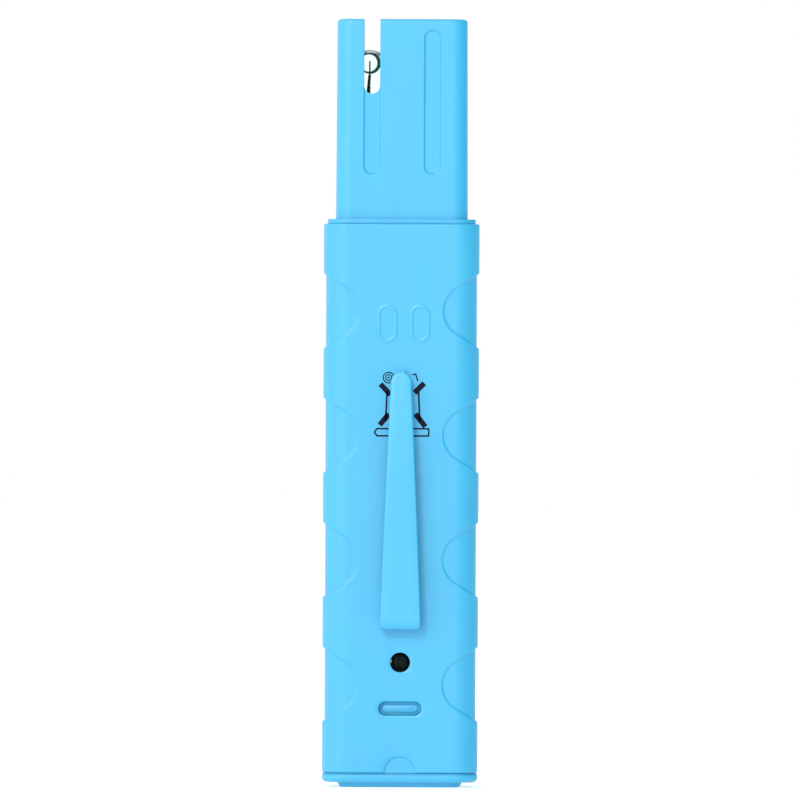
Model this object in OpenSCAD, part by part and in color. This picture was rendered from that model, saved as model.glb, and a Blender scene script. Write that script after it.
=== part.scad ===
// Pen-type pH meter, standing on its battery cap with the electrode up.
// Z runs along the pen, -Y is the back with the pocket clip, +Y is the front with the display.
// The origin is the centre of the foot's flat face.

/* [Housing] */
// Width of the housing and the battery cap
body_w = 30.4; // [30.2:0.1:31]
// Depth of the housing, front to back
body_d = 17; // [16.8:0.1:17.4]
// Corner radius of the housing's cross-section
body_r = 4.7; // [4.4:0.1:5]
// Wall thickness of the mouldings
wall = 1.6; // [1.55:0.01:1.65]
// Height of the top end of the housing above the foot's face
body_top = 110; // [110:0.5:114]

/* [Battery cap] */
// Height of the foot's step
foot_h = 0.9; // [0.8:0.1:1.2]
// Width of the foot
foot_w = 23.4; // [20:0.1:25]
// Depth of the foot
foot_d = 12; // [10:0.1:13]
// Height of the top of the cap's flange
flange_top = 2.5; // [2.45:0.05:2.65]
// Gap between the cap and the housing, which the seal fills
seam = 0.3; // [0.3:0.01:0.35]
// Diameter of a button cell
cell_d = 11.6; // [11.4:0.1:11.6]
// Height of a button cell
cell_h = 5.4; // [5.2:0.1:5.4]

/* [Probe] */
// Height of the top edge of the probe guard
guard_top = 150; // [148:0.5:154]
// Width of the probe guard
guard_w = 25.6; // [25.4:0.1:26]
// Depth of the probe guard
guard_d = 13; // [12.8:0.1:13.2]
// Width of the collar under the guard
collar_w = 28.9; // [28:0.1:29.2]
// Distance of the guard's open slot and of the electrode from the middle
slot_x = 5.9; // [5.7:0.1:6.1]
// Width of the guard's slot and grooves
slot_w = 3.1; // [2.8:0.1:3.4]
// Outer radius of the glass bulb
bulb_r = 4.4; // [4.2:0.1:4.5]

/* [Back] */
// Depth of the grip recesses on the sides
scoop_side = 0.46; // [0.3:0.02:0.5]
// Depth of the grip recesses on the back and front faces
scoop_face = 0.3; // [0.2:0.02:0.34]
// Radius of the screwdriver hole over the trimmer
access_r = 1.95; // [1.8:0.05:2.1]
// Height of the screwdriver hole
access_z = 24.4; // [24:0.1:25]
// Height of the latch window
window_z = 15.4; // [15.2:0.1:15.6]

/* [Front] */
// Height of the middle of the display
display_z = 41; // [40:0.5:42]
// Height of the power button
button_z = 62; // [61:0.5:66]
// Radius of the power button
button_r = 4.5; // [4:0.1:5]
// How far the power button is pressed
button_travel = 0.6; // [0.4:0.1:0.6]

/* [Hidden] */
$fn = 64;
eps = 0.01;
run = 0.05;                         // running clearance, and the gap between pieces that touch

body_bottom = flange_top + seam;
inner_w = body_w - 2 * wall;
inner_d = body_d - 2 * wall;
inner_r = body_r - wall;
back_y = -body_d / 2;
front_y = body_d / 2;
roof = body_top - wall;             // underside of the housing's top wall

// Grip recesses: four a side, evenly spaced
scoop_pitch = 24.33;
scoop_z0 = 20;
scoop_r = 5.3;
scoop_in = 1.7;                     // how far inside the side its circle is centred
scoop_half = 7.2;                   // half its height where it meets the side

// Battery room
cell_y = 0.6;
cell_z = 11.5;
cell_gap = 0.05;
stack_w = 4 * cell_h;
plug_top = flange_top + 1.7;
notch_z = 2.95;
notch_r = 2.95;
tray_top = 18.6;
tray_back = -4.4;
tray_front = 6.2;
tray_end = 13.2;
plate_t = 0.4;

// Latch tongue
tongue_w = 7.6;
tongue_back = -6.7;
tongue_t = 0.9;
tongue_top = 17.4;
wedge_back = -7.45;
channel_back = -7.65;
window_w = 8.3;
window_h = 2.65;

// Circuit board and what is on it
board_back = 1;
board_t = 1.2;
board_front = board_back + board_t;
board_w = 24;
board_z0 = 20.5;
board_z1 = 97;
screw_x = 9.3;
screw_zs = [28.5, 92];
screw_r = 0.85;
boss_r = 2.1;
trimmer_w = 6;
trimmer_back = -3.4;
rotor_back = -4;
rotor_front = -1.4;
rotor_r = 1.6;

// Display stack, from the outside in
label_t = 0.3;
label_w = 21.4;
label_z0 = 29;
label_z1 = 80;
pane_w = 19.9;
pane_h = 11.9;
view_w = 17;
view_h = 9.4;
frame_w = 21.8;
frame_h = 17.6;
glass_w = 20;
glass_h = 13;
button_seat = 6.05;                 // underside of the power button's flange

// Probe
collar_d = 15.5;
collar_top = body_top + 0.9;
spigot_w = 24;
spigot_d = 11.5;
spigot_z0 = 98;
bulkhead = 118;                     // floor of the guard's hollow
guard_wall = 1.5;
groove_t = 0.35;
electrode_x = -slot_x - 0.5;
barrel_r = 4.6;
barrel_bore = 3.4;
barrel_z0 = 99;
barrel_z1 = 133.5;
bulb_top = 144.1;
glass_t = 0.45;
stem_r = 3.3;
stem_z0 = 119;
bubble_z = 141.4;
bubble_r = 2.1;
reference_x = 4.8;
reference_r = 3.4;
reference_bore = 2.6;
reference_z1 = 126;

// Pocket clip
clip_z0 = 30.9;
clip_z1 = 81.5;
clip_split = 39;
clip_back = -12.1;
clip_t = 1.6;
clip_root = 3.95;
clip_root_r = 0.8;
clip_tip_r = 1.9;
clip_nub_r = 0.45;

// A rectangle with round corners, centred
module round_rect(w, d, r) {
    square([w - 2 * r, d], center = true);
    square([w, d - 2 * r], center = true);
    for (x = [-1, 1], y = [-1, 1]) translate([x * (w / 2 - r), y * (d / 2 - r)]) circle(r);
}

// A round-cornered bar standing from z0 to z1
module bar(w, d, r, z0, z1) {
    translate([0, 0, z0]) linear_extrude(z1 - z0) round_rect(w, d, r);
}

// A box given by its low and high corners
module block(lo, hi) {
    translate(lo) cube(hi - lo);
}

// A flat shape drawn in X and Z, standing from y0 to y1
module plate(y0, y1) {
    translate([0, y1, 0]) rotate([90, 0, 0]) linear_extrude(y1 - y0) children();
}

// A round pin along Y
module pin(x, z, r, y0, y1) {
    translate([x, y0, z]) rotate([-90, 0, 0]) cylinder(r = r, h = y1 - y0);
}

// A slot with round ends, standing, from height z0 to z1
module upright_slot(w, z0, z1) {
    translate([-w / 2, z0 + w / 2]) square([w, z1 - z0 - w]);
    translate([0, z0 + w / 2]) circle(w / 2);
    translate([0, z1 - w / 2]) circle(w / 2);
}

// A slot with round ends, lying
module lying_slot(w, h) {
    square([w - h, h], center = true);
    for (x = [-1, 1]) translate([x * (w - h) / 2, 0]) circle(h / 2);
}

// The outline of one grip recess on the right-hand side: a circle with straight tails that flare to the side
module scoop_outline() {
    tail_x = body_w / 2 - 4.3;
    tail_half = scoop_r - 0.73;
    translate([body_w / 2 - scoop_in, 0]) circle(scoop_r);
    polygon([
        [tail_x, -tail_half], [body_w / 2, -scoop_half], [body_w / 2 + 1, -scoop_half - 0.6],
        [body_w / 2 + 1, scoop_half + 0.6], [body_w / 2, scoop_half], [tail_x, tail_half]
    ]);
}

// Everything that the grip recesses take off the housing
module scoops() {
    difference() {
        for (i = [0:3], side = [0, 1])
            translate([0, 0, scoop_z0 + i * scoop_pitch])
                mirror([side, 0, 0])
                    plate(-body_d, body_d) scoop_outline();
        bar(body_w - 2 * scoop_side, body_d - 2 * scoop_face, body_r - scoop_side, 0, body_top);
    }
}

// The hollow housing before it is split
module housing() {
    difference() {
        bar(body_w, body_d, body_r, body_bottom, body_top);
        bar(inner_w, inner_d, inner_r, body_bottom - 1, roof);
        bar(spigot_w + 2 * run, spigot_d + 2 * run, 2.6, roof - 1, body_top + 1);
        scoops();
    }
}

// The lip along the rear half's parting face, grown by g to make the front half's rebate
module parting_lip(g) {
    for (side = [0, 1]) mirror([side, 0, 0])
        block([inner_w / 2, -eps, 6 - g], [inner_w / 2 + 0.7 + g, 1 + g, roof - 4 + g]);
}

module rear_shell() {
    color([0.42, 0.82, 0.99]) difference() {
        union() {
            intersection() {
                housing();
                block([-body_w, -body_d, 0], [body_w, 0, body_top + 1]);
            }
            parting_lip(0);
            // two posts behind the circuit board
            for (x = [-1, 1]) pin(x * 8, 72, 1.3, -inner_d / 2 - 0.5, board_back - run);
            // two moulded rings
            for (x = [-2.8, 3.6]) translate([x, 0, 90.5]) difference() {
                plate(back_y - 0.15, back_y + 0.5) upright_slot(4.2, -3.8, 3.8);
                plate(back_y - 1, back_y) upright_slot(3.0, -3.2, 3.2);
            }
        }
        // screwdriver hole over the trimmer
        pin(0, access_z, access_r, back_y - 1, -inner_d / 2 + 1);
        // latch window, and the channel that its wedge leaves by
        translate([0, 0, window_z]) plate(back_y - 1, -inner_d / 2 + 1) lying_slot(window_w, window_h);
        block([-tongue_w / 2 - 0.3, channel_back, 0], [tongue_w / 2 + 0.3, -6, window_z]);
        // thumbnail notch
        plate(back_y - 1, back_y + 0.4) translate([0, notch_z]) circle(notch_r);
        // slot for the clip's peg
        block([-2.02, back_y - 1, 32.98], [2.02, -6, 37.02]);
    }
}

module front_shell() {
    color([0.42, 0.82, 0.99]) difference() {
        union() {
            intersection() {
                housing();
                block([-body_w, 0, 0], [body_w, body_d, body_top + 1]);
            }
            for (x = [-1, 1], z = screw_zs) pin(x * screw_x, z, boss_r, board_front, inner_d / 2 + 0.5);
        }
        parting_lip(run);
        // the display's opening
        translate([0, 0, display_z]) plate(5, body_d) round_rect(pane_w + 2 * run, pane_h + 2 * run, 1);
        // the power button's hole
        pin(0, button_z, button_r + run, 5, body_d);
        // the label's seat
        translate([0, 0, (label_z0 + label_z1) / 2]) plate(front_y - label_t, body_d)
            round_rect(label_w + 2 * run, label_z1 - label_z0 + 2 * run, 2);
        for (x = [-1, 1], z = screw_zs) pin(x * screw_x, z, screw_r, 0, board_front + 4);
    }
}

module front_label() {
    color([0.93, 0.95, 0.97]) difference() {
        translate([0, 0, (label_z0 + label_z1) / 2]) plate(front_y - label_t, front_y)
            round_rect(label_w, label_z1 - label_z0, 2);
        translate([0, 0, display_z]) plate(5, body_d) round_rect(view_w, view_h, 0.8);
        pin(0, button_z, button_r + 0.5, 5, body_d);
    }
}

module display_window() {
    color([0.85, 0.9, 0.92, 0.4]) translate([0, 0, display_z])
        plate(inner_d / 2 + 0.1, front_y - label_t) round_rect(pane_w, pane_h, 1);
}

module lcd_glass() {
    color([0.62, 0.68, 0.6]) translate([0, 0, display_z]) {
        plate(4.65, 5.6) square([glass_w, glass_h], center = true);
        plate(5.6, 6.6) square([glass_w, glass_h - 1.6], center = true);
    }
}

module lcd_frame() {
    color([0.9, 0.9, 0.88]) translate([0, 0, display_z]) difference() {
        plate(board_front, inner_d / 2 - 0.05) square([frame_w, frame_h], center = true);
        plate(board_front - 1, 6.65) square([glass_w + 0.1, glass_h + 0.1], center = true);
        plate(6, 8) square([view_w + 1, view_h + 1], center = true);
    }
}

module zebra_strips() {
    color([0.25, 0.25, 0.27]) for (z = [-1, 1])
        block([-9, board_front, display_z + z * 5.5 - 0.8], [9, 4.65, display_z + z * 5.5 + 0.8]);
}

module circuit_board() {
    color([0.1, 0.42, 0.25]) difference() {
        block([-board_w / 2, board_back, board_z0], [board_w / 2, board_front, board_z1]);
        for (x = [-1, 1], z = screw_zs) pin(x * screw_x, z, screw_r + run, 0, 3);
    }
}

module controller_chip() {
    color([0.12, 0.12, 0.13]) {
        block([-5, -0.5, 52], [5, board_back - 0.1, 62]);
        for (x = [-1, 1], i = [0:7])
            block([x * 5.5 - 0.5, 0.6, 52.6 + i * 1.2], [x * 5.5 + 0.5, board_back, 53 + i * 1.2]);
    }
}

module tact_switch() {
    color([0.2, 0.2, 0.22]) {
        block([-3, board_front, button_z - 3], [3, 4.9, button_z + 3]);
        pin(0, button_z, 1.7, 4.8, button_seat - button_travel - run);
    }
}

module trimmer_body() {
    color([0.1, 0.4, 0.45]) difference() {
        block([-trimmer_w / 2, trimmer_back, access_z - trimmer_w / 2],
              [trimmer_w / 2, board_back, access_z + trimmer_w / 2]);
        pin(0, access_z, rotor_r + run, trimmer_back - 1, rotor_front + run);
    }
}

module trimmer_rotor() {
    color([0.15, 0.55, 0.45]) difference() {
        pin(0, access_z, rotor_r, rotor_back, rotor_front);
        block([-0.3, rotor_back - 1, access_z - 2], [0.3, rotor_back + 0.7, access_z + 2]);
    }
}

module battery_contacts() {
    color([0.85, 0.75, 0.4]) for (x = [-1, 1]) translate([x * 10, 0, 0]) {
        block([-1.2, 0.6, tray_top + plate_t + 0.1], [1.2, board_back, 24]);
        block([-1.2, -2, tray_top + plate_t + 0.1], [1.2, 0.7, tray_top + plate_t + 0.45]);
    }
}

module board_screws() {
    color([0.75, 0.76, 0.78]) for (x = [-1, 1], z = screw_zs) difference() {
        union() {
            pin(x * screw_x, z, 1.6, -0.1, board_back);
            pin(x * screw_x, z, screw_r, 0.5, board_front + 3.8);
        }
        block([x * screw_x - 1, -0.5, z - 0.2], [x * screw_x + 1, 0.4, z + 0.2]);
        block([x * screw_x - 0.2, -0.5, z - 1], [x * screw_x + 0.2, 0.4, z + 1]);
    }
}

module probe_guard() {
    color([0.42, 0.82, 0.99]) difference() {
        union() {
            bar(guard_w, guard_d, 2.85, collar_top - 0.5, guard_top);
            bar(collar_w, collar_d, 4, body_top, collar_top);
            bar(spigot_w, spigot_d, 2.5, spigot_z0, body_top + 0.5);
        }
        bar(guard_w - 2 * guard_wall, guard_d - 2 * guard_wall, 1.35, bulkhead, guard_top + 1);
        // open slot at the left, through the back and the front wall
        translate([-slot_x, 0, 0]) plate(-guard_d, guard_d) upright_slot(slot_w, 135.4, guard_top + 4);
        // grooves in both faces: the left one runs into the slot, the right one is closed
        for (side = [0, 1]) mirror([0, side, 0]) {
            translate([-slot_x, 0, 0]) plate(-guard_d, -guard_d / 2 + groove_t)
                upright_slot(slot_w, 119.7, 138);
            translate([slot_x, 0, 0]) plate(-guard_d, -guard_d / 2 + groove_t)
                upright_slot(slot_w, 119.7, 147.8);
        }
        translate([electrode_x, 0, spigot_z0 - 1]) cylinder(r = barrel_r + run, h = 30);
        translate([reference_x, 0, spigot_z0 - 1]) cylinder(r = reference_r + run, h = 30);
    }
}

module probe_seal() {
    color([0.15, 0.15, 0.16]) difference() {
        bar(inner_w - 0.2, inner_d - 0.2, inner_r - 0.1, roof - 2, roof);
        bar(spigot_w, spigot_d, 2.5, roof - 3, roof + 1);
    }
}

module electrode_barrel() {
    color([0.9, 0.9, 0.9]) translate([electrode_x, 0, barrel_z0]) difference() {
        cylinder(r = barrel_r, h = barrel_z1 - barrel_z0);
        translate([0, 0, -1]) cylinder(r = barrel_bore, h = barrel_z1 - barrel_z0 + 2);
    }
}

module barrel_potting() {
    color([0.3, 0.3, 0.32]) translate([electrode_x, 0, barrel_z0]) difference() {
        cylinder(r = barrel_bore, h = 6);
        translate([0, 0, -1]) cylinder(r = 0.35, h = 8);
    }
}

// A closed round-topped tube's half section: inner radii less t
module bulb_section(t) {
    translate([0, stem_z0 + t]) square([stem_r - t, barrel_z1 + 1 - stem_z0 - t]);
    translate([0, barrel_z1 + 0.02 + t]) square([bulb_r - t, bulb_top - bulb_r - barrel_z1 - 0.02 - t]);
    intersection() {
        translate([0, bulb_top - bulb_r]) circle(bulb_r - t);
        translate([0, bulb_top - bulb_r - 0.5]) square([bulb_r, bulb_r + 1]);
    }
}

module glass_bulb() {
    color([0.85, 0.92, 0.9, 0.4]) translate([electrode_x, 0, 0]) difference() {
        rotate_extrude() bulb_section(0);
        rotate_extrude() bulb_section(glass_t);
        translate([0, 0, stem_z0 - 1]) cylinder(r = stem_r - glass_t, h = 3);
    }
}

module bulb_solution() {
    color([0.8, 0.9, 0.85, 0.5]) translate([electrode_x, 0, 0]) difference() {
        rotate_extrude() bulb_section(glass_t + run);
        translate([0, 0, bubble_z]) sphere(bubble_r);
        translate([0, 0, stem_z0 - 1]) cylinder(r = 0.35, h = 30);
    }
}

module silver_wire() {
    color([0.75, 0.75, 0.73]) translate([electrode_x, 0, barrel_z0 - 1.5])
        cylinder(r = 0.3, h = 141.9 - barrel_z0 + 1.5);
}

module reference_tube() {
    color([0.9, 0.9, 0.88]) translate([reference_x, 0, barrel_z0]) difference() {
        cylinder(r = reference_r, h = reference_z1 - barrel_z0);
        translate([0, 0, 2]) cylinder(r = reference_bore, h = reference_z1 - barrel_z0);
        translate([0, 0, -1]) cylinder(r = 0.45, h = 5);
    }
}

module porous_junction() {
    color([0.96, 0.96, 0.94]) translate([reference_x, 0, reference_z1 - 6]) {
        cylinder(r = reference_bore, h = 6);
        cylinder(r = 2.2, h = 6.8);
    }
}

module reference_wire() {
    color([0.6, 0.6, 0.6]) translate([reference_x, 0, barrel_z0 - 1.5])
        cylinder(r = 0.4, h = reference_z1 - 7 - barrel_z0 + 1.5);
}

module electrode_leads() {
    color([0.8, 0.15, 0.12]) for (x = [electrode_x, reference_x]) {
        translate([x, 0.5, 90.5]) cylinder(r = 0.4, h = barrel_z0 - 1.6 - 90.5);
        pin(x, 91, 0.7, 0.5, board_back);
        pin(x, barrel_z0 - 2.25, 0.7, -0.5, 0.6);
    }
}

// The clip seen from behind: wide at the root, narrow at the tip, with a small nub on its end
module clip_outline() {
    hull() {
        translate([0, clip_z1 - 0.5 - clip_tip_r]) circle(clip_tip_r);
        for (x = [-1, 1])
            translate([x * (clip_root - clip_root_r), clip_z0 + clip_root_r]) circle(clip_root_r);
    }
    hull() for (z = [clip_z1 - 1, clip_z1 - clip_nub_r]) translate([0, z]) circle(clip_nub_r);
}

// The clip seen from the side: a foot on the housing, a long arm and a bead close to the back near its tip
module clip_profile() {
    polygon([
        [back_y, clip_z0], [clip_back + 0.9, clip_z0], [clip_back + 0.2, clip_z0 + 0.6],
        [clip_back, clip_z0 + 2], [clip_back, 60], [clip_back + 0.25, 70], [clip_back + 0.9, 77],
        [clip_back + 1.7, clip_z1],
        [back_y - 0.5, clip_z1], [back_y - 0.05, 80.6], [back_y - 0.05, 79.8], [back_y - 0.9, 78],
        [clip_back + clip_t + 0.25, 68], [clip_back + clip_t, 60], [clip_back + clip_t, 39],
        [clip_back + clip_t + 0.4, 38.2], [back_y, 37.6]
    ]);
}

module clip_piece(z0, z1) {
    intersection() {
        plate(clip_back - 1, back_y + 1) clip_outline();
        translate([-5, 0, 0]) rotate([90, 0, 90]) linear_extrude(10) clip_profile();
        block([-6, clip_back - 1, z0], [6, back_y, z1]);
    }
}

module clip_base() {
    color([0.42, 0.82, 0.99]) {
        clip_piece(clip_z0 - 1, clip_split);
        block([-2, back_y - 0.5, 33], [2, -6.2, 37]);
    }
}

module clip_arm() {
    color([0.42, 0.82, 0.99]) clip_piece(clip_split + 0.03, clip_z1 + 1);
}

module power_button() {
    color([0.2, 0.35, 0.6]) {
        pin(0, button_z, button_r, button_seat + 0.2, front_y + 0.5);
        pin(0, button_z, button_r + 0.8, button_seat, inner_d / 2 - 0.15);
    }
}

module latch_tongue() {
    color([0.42, 0.82, 0.99]) {
        block(
            [-tongue_w / 2, tongue_back, plug_top + run],
            [tongue_w / 2, tongue_back + tongue_t, tongue_top]
        );
        translate([-3.7, 0, 0]) rotate([90, 0, 90]) linear_extrude(7.4) polygon([
            [tongue_back + 0.3, 14.2], [wedge_back + 0.15, 14.35], [wedge_back, 15.2],
            [wedge_back, 15.5], [tongue_back, 16.55], [tongue_back + 0.3, 16.55]
        ]);
    }
}

module battery_cap() {
    color([0.5, 0.84, 0.99]) {
        bar(foot_w, foot_d, 2.6, 0, foot_h + 0.3);
        hull() {
            bar(body_w - 1.6, body_d - 1.6, body_r - 0.8, foot_h, foot_h + eps);
            bar(body_w, body_d, body_r, foot_h + 0.8, flange_top - 0.3);
            bar(body_w - 0.6, body_d - 0.6, body_r - 0.3, flange_top - eps, flange_top);
        }
        bar(inner_w - 0.4, inner_d - 0.4, inner_r - 0.2, flange_top - 0.1, plug_top);
    }
}

module cap_seal() {
    color([0.08, 0.12, 0.16]) difference() {
        bar(body_w - 1.4, body_d - 1.4, body_r - 0.7, flange_top, body_bottom - 0.02);
        bar(inner_w - 0.4, inner_d - 0.4, inner_r - 0.2, flange_top - 1, body_bottom + 1);
    }
}

// The bent plate at each end of the cells
module tray_plate() {
    block([stack_w / 2 + cell_gap, -3.4, 6], [stack_w / 2 + cell_gap + plate_t, 4.6, tray_top + plate_t]);
    block([8.8, -3.4, tray_top], [stack_w / 2 + cell_gap + plate_t, 4.6, tray_top + plate_t]);
}

module tray_contacts() {
    color([0.8, 0.8, 0.82]) for (side = [0, 1]) mirror([side, 0, 0]) tray_plate();
}

module battery_tray() {
    color([0.88, 0.9, 0.92]) difference() {
        intersection() {
            block([-tray_end, tray_back, plug_top], [tray_end, tray_front, tray_top]);
            bar(inner_w - 0.4, inner_d - 0.4, inner_r - 0.2, 0, tray_top + 1);
        }
        translate([-stack_w / 2 - cell_gap, cell_y, cell_z]) rotate([0, 90, 0])
            cylinder(r = cell_d / 2 + run, h = stack_w + 2 * cell_gap);
        for (side = [0, 1]) mirror([side, 0, 0]) tray_plate();
    }
}

// A button cell with its can and its smaller crimped cap, its axis along X
module cell(i) {
    translate([-stack_w / 2 + (i - 1) * cell_h, cell_y, cell_z]) rotate([0, 90, 0]) {
        color([0.78, 0.78, 0.8]) cylinder(r = cell_d / 2, h = cell_h - 0.5);
        color([0.7, 0.7, 0.72]) cylinder(r = cell_d / 2 - 1, h = cell_h - 0.02);
    }
}

rear_shell();
front_shell();
front_label();
display_window();
lcd_glass();
lcd_frame();
zebra_strips();
circuit_board();
controller_chip();
tact_switch();
trimmer_body();
trimmer_rotor();
battery_contacts();
board_screws();
probe_guard();
probe_seal();
electrode_barrel();
barrel_potting();
glass_bulb();
bulb_solution();
silver_wire();
reference_tube();
porous_junction();
reference_wire();
electrode_leads();
clip_base();
clip_arm();
power_button();
latch_tongue();
battery_cap();
cap_seal();
battery_tray();
tray_contacts();
for (i = [1:4]) cell(i);
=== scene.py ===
import math

import bmesh
import bpy
from mathutils import Matrix, Vector


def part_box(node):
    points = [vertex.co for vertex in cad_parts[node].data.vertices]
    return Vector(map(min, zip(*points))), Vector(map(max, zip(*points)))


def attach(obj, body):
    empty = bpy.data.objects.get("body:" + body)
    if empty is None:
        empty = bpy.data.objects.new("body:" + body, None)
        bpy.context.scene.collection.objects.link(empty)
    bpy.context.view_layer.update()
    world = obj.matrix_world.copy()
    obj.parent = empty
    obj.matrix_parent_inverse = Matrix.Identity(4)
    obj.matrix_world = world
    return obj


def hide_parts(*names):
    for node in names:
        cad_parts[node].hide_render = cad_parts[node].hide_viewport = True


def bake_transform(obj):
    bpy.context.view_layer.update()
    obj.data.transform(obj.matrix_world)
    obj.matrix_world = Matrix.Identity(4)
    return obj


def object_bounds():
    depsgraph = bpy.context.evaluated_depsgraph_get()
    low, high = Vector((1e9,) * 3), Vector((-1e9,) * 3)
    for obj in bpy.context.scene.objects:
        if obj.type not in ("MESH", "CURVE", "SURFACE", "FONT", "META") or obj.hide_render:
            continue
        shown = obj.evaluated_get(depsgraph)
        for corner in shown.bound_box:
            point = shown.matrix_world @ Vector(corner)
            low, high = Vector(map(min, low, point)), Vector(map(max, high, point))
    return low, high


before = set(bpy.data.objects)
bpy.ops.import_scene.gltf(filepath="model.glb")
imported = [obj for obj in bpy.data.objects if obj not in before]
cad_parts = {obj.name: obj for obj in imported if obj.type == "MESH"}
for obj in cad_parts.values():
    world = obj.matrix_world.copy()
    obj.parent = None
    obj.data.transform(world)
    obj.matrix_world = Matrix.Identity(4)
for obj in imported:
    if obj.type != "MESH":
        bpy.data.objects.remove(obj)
cad_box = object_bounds()
scene = bpy.context.scene

# Shapes are worked out in millimetres and made metres when they are finished.
MM = 0.001
# A round end's radius is this much under half its width, so that no side has a length of zero.
HAIR = 0.001


def span(node):
    """The low and high corner of a CAD node, in millimetres."""
    low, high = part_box(node)
    return low / MM, high / MM


# ---------------------------------------------------------------- sizes

shell_low, shell_high = span("front_shell")
cap_high = span("battery_cap")[1]
guard_low, guard_high = span("probe_guard")
bulb_low, bulb_high = span("glass_bulb")
label_low, label_high = span("front_label")
pane_low, pane_high = span("display_window")
button_low, button_high = span("power_button")
rotor_low, rotor_high = span("trimmer_rotor")
clip_low, clip_high = span("clip_base")
arm_high = span("clip_arm")[1]
tongue_low, tongue_high = span("latch_tongue")

BODY_W = shell_high.x - shell_low.x
BODY_D = 2 * shell_high.y
BODY_R = 4.7
WALL = 1.6
BODY_BOTTOM = shell_low.z
# The gap between the housing and its end cap
SEAM = 0.3
BODY_TOP = shell_high.z
BACK = -BODY_D / 2
FRONT = BODY_D / 2

# Grip recesses: round bowls down both sides, each with two straight tails that run to the edge.
SCOOP_CENTRES = [20 + 24.33 * i for i in range(4)]
SCOOP_RADIUS = 5.3
SCOOP_INSET = 1.7
SCOOP_TAIL_SLOPE = 0.6
SCOOP_FACE_DEPTH = 0.3
SCOOP_SIDE_DEPTH = 0.46
SCOOP_EDGE = 0.36
SCOOP_HALF_HEIGHT = 7.9
SCOOP_START_X = 7.7

ACCESS_Z = (rotor_low.z + rotor_high.z) / 2
ACCESS_R = 1.95
WINDOW_Z = 15.4
WINDOW_W = 8.3
WINDOW_H = 2.65

LABEL_W = label_high.x - label_low.x
LABEL_H = label_high.z - label_low.z
LABEL_Z = (label_low.z + label_high.z) / 2
PANE_W = pane_high.x - pane_low.x
PANE_H = pane_high.z - pane_low.z
PANE_Z = (pane_low.z + pane_high.z) / 2
BUTTON_Z = (button_low.z + button_high.z) / 2

# A lip inside each long edge of the back half goes into a slot in the front half.
LIP_FOOT = 6
LIP_TOP = 104
LIP_PLAY = 0.1

# The clip is held by a peg that goes through the back of the housing.
PEG_HALF_W = 2
PEG_FOOT = 33
PEG_TOP = 37
PEG_PLAY = 0.05
CLIP_ROOT_HALF_W = 3.95
CLIP_TIP_R = 2.0
CLIP_THICK = 1.6
TONGUE_HALF_W = 3.8

COLLAR_W = guard_high.x - guard_low.x
COLLAR_D = guard_high.y - guard_low.y
COLLAR_TOP = BODY_TOP + 0.9
SPIGOT_W = 24
SPIGOT_D = 11.5
SPIGOT_R = 2.5
SPIGOT_PLAY = 0.1

# The probe guard, seen from the back: an open slot above a groove on the left, a long groove on the right.
GUARD_TOP_W = 25.4
GUARD_FOOT_W = 25.75
GUARD_D = 13
GUARD_R = 2.85
GUARD_WALL = 1.5
GUARD_TOP = guard_high.z
GUARD_FLOOR = 118
SLOT_X = 5.9
SLOT_W = 3.1
SLOT_FOOT = 135.4
GROOVE_FOOT = 119.7
GROOVE_HEAD = 147.8
GROOVE_DEPTH = 0.34
GROOVE_EDGE = 0.38

PROBE_X = (bulb_low.x + bulb_high.x) / 2
BULB_R = (bulb_high.x - bulb_low.x) / 2
BULB_TOP = bulb_high.z
BULB_STEM_R = 3.3
BULB_SHOULDER = 133.5
BULB_WALL = 0.45
LEAD_X = 4.8


# ---------------------------------------------------------------- shader maths


class Number:
    """A socket that carries a number; sums and products of it add Math nodes."""

    def __init__(self, paint, socket):
        self.paint = paint
        self.socket = socket

    def maths(self, operation, *others, first=None):
        node = self.paint.nodes.new("ShaderNodeMath")
        node.operation = operation
        values = [self, *others] if first is None else [first, self]
        for slot, value in zip(node.inputs, values):
            self.paint.feed(slot, value)
        return Number(self.paint, node.outputs[0])

    def __add__(self, other):
        return self.maths("ADD", other)

    def __sub__(self, other):
        return self.maths("SUBTRACT", other)

    def __mul__(self, other):
        return self.maths("MULTIPLY", other)

    def __radd__(self, other):
        return self.maths("ADD", first=other)

    def __rmul__(self, other):
        return self.maths("MULTIPLY", first=other)

    def absolute(self):
        return self.maths("ABSOLUTE")

    def above(self, limit):
        return self.maths("GREATER_THAN", limit)

    def below(self, limit):
        return self.maths("LESS_THAN", limit)

    def power(self, exponent):
        return self.maths("POWER", exponent)

    def most(self, other):
        return self.maths("MAXIMUM", other)


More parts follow.
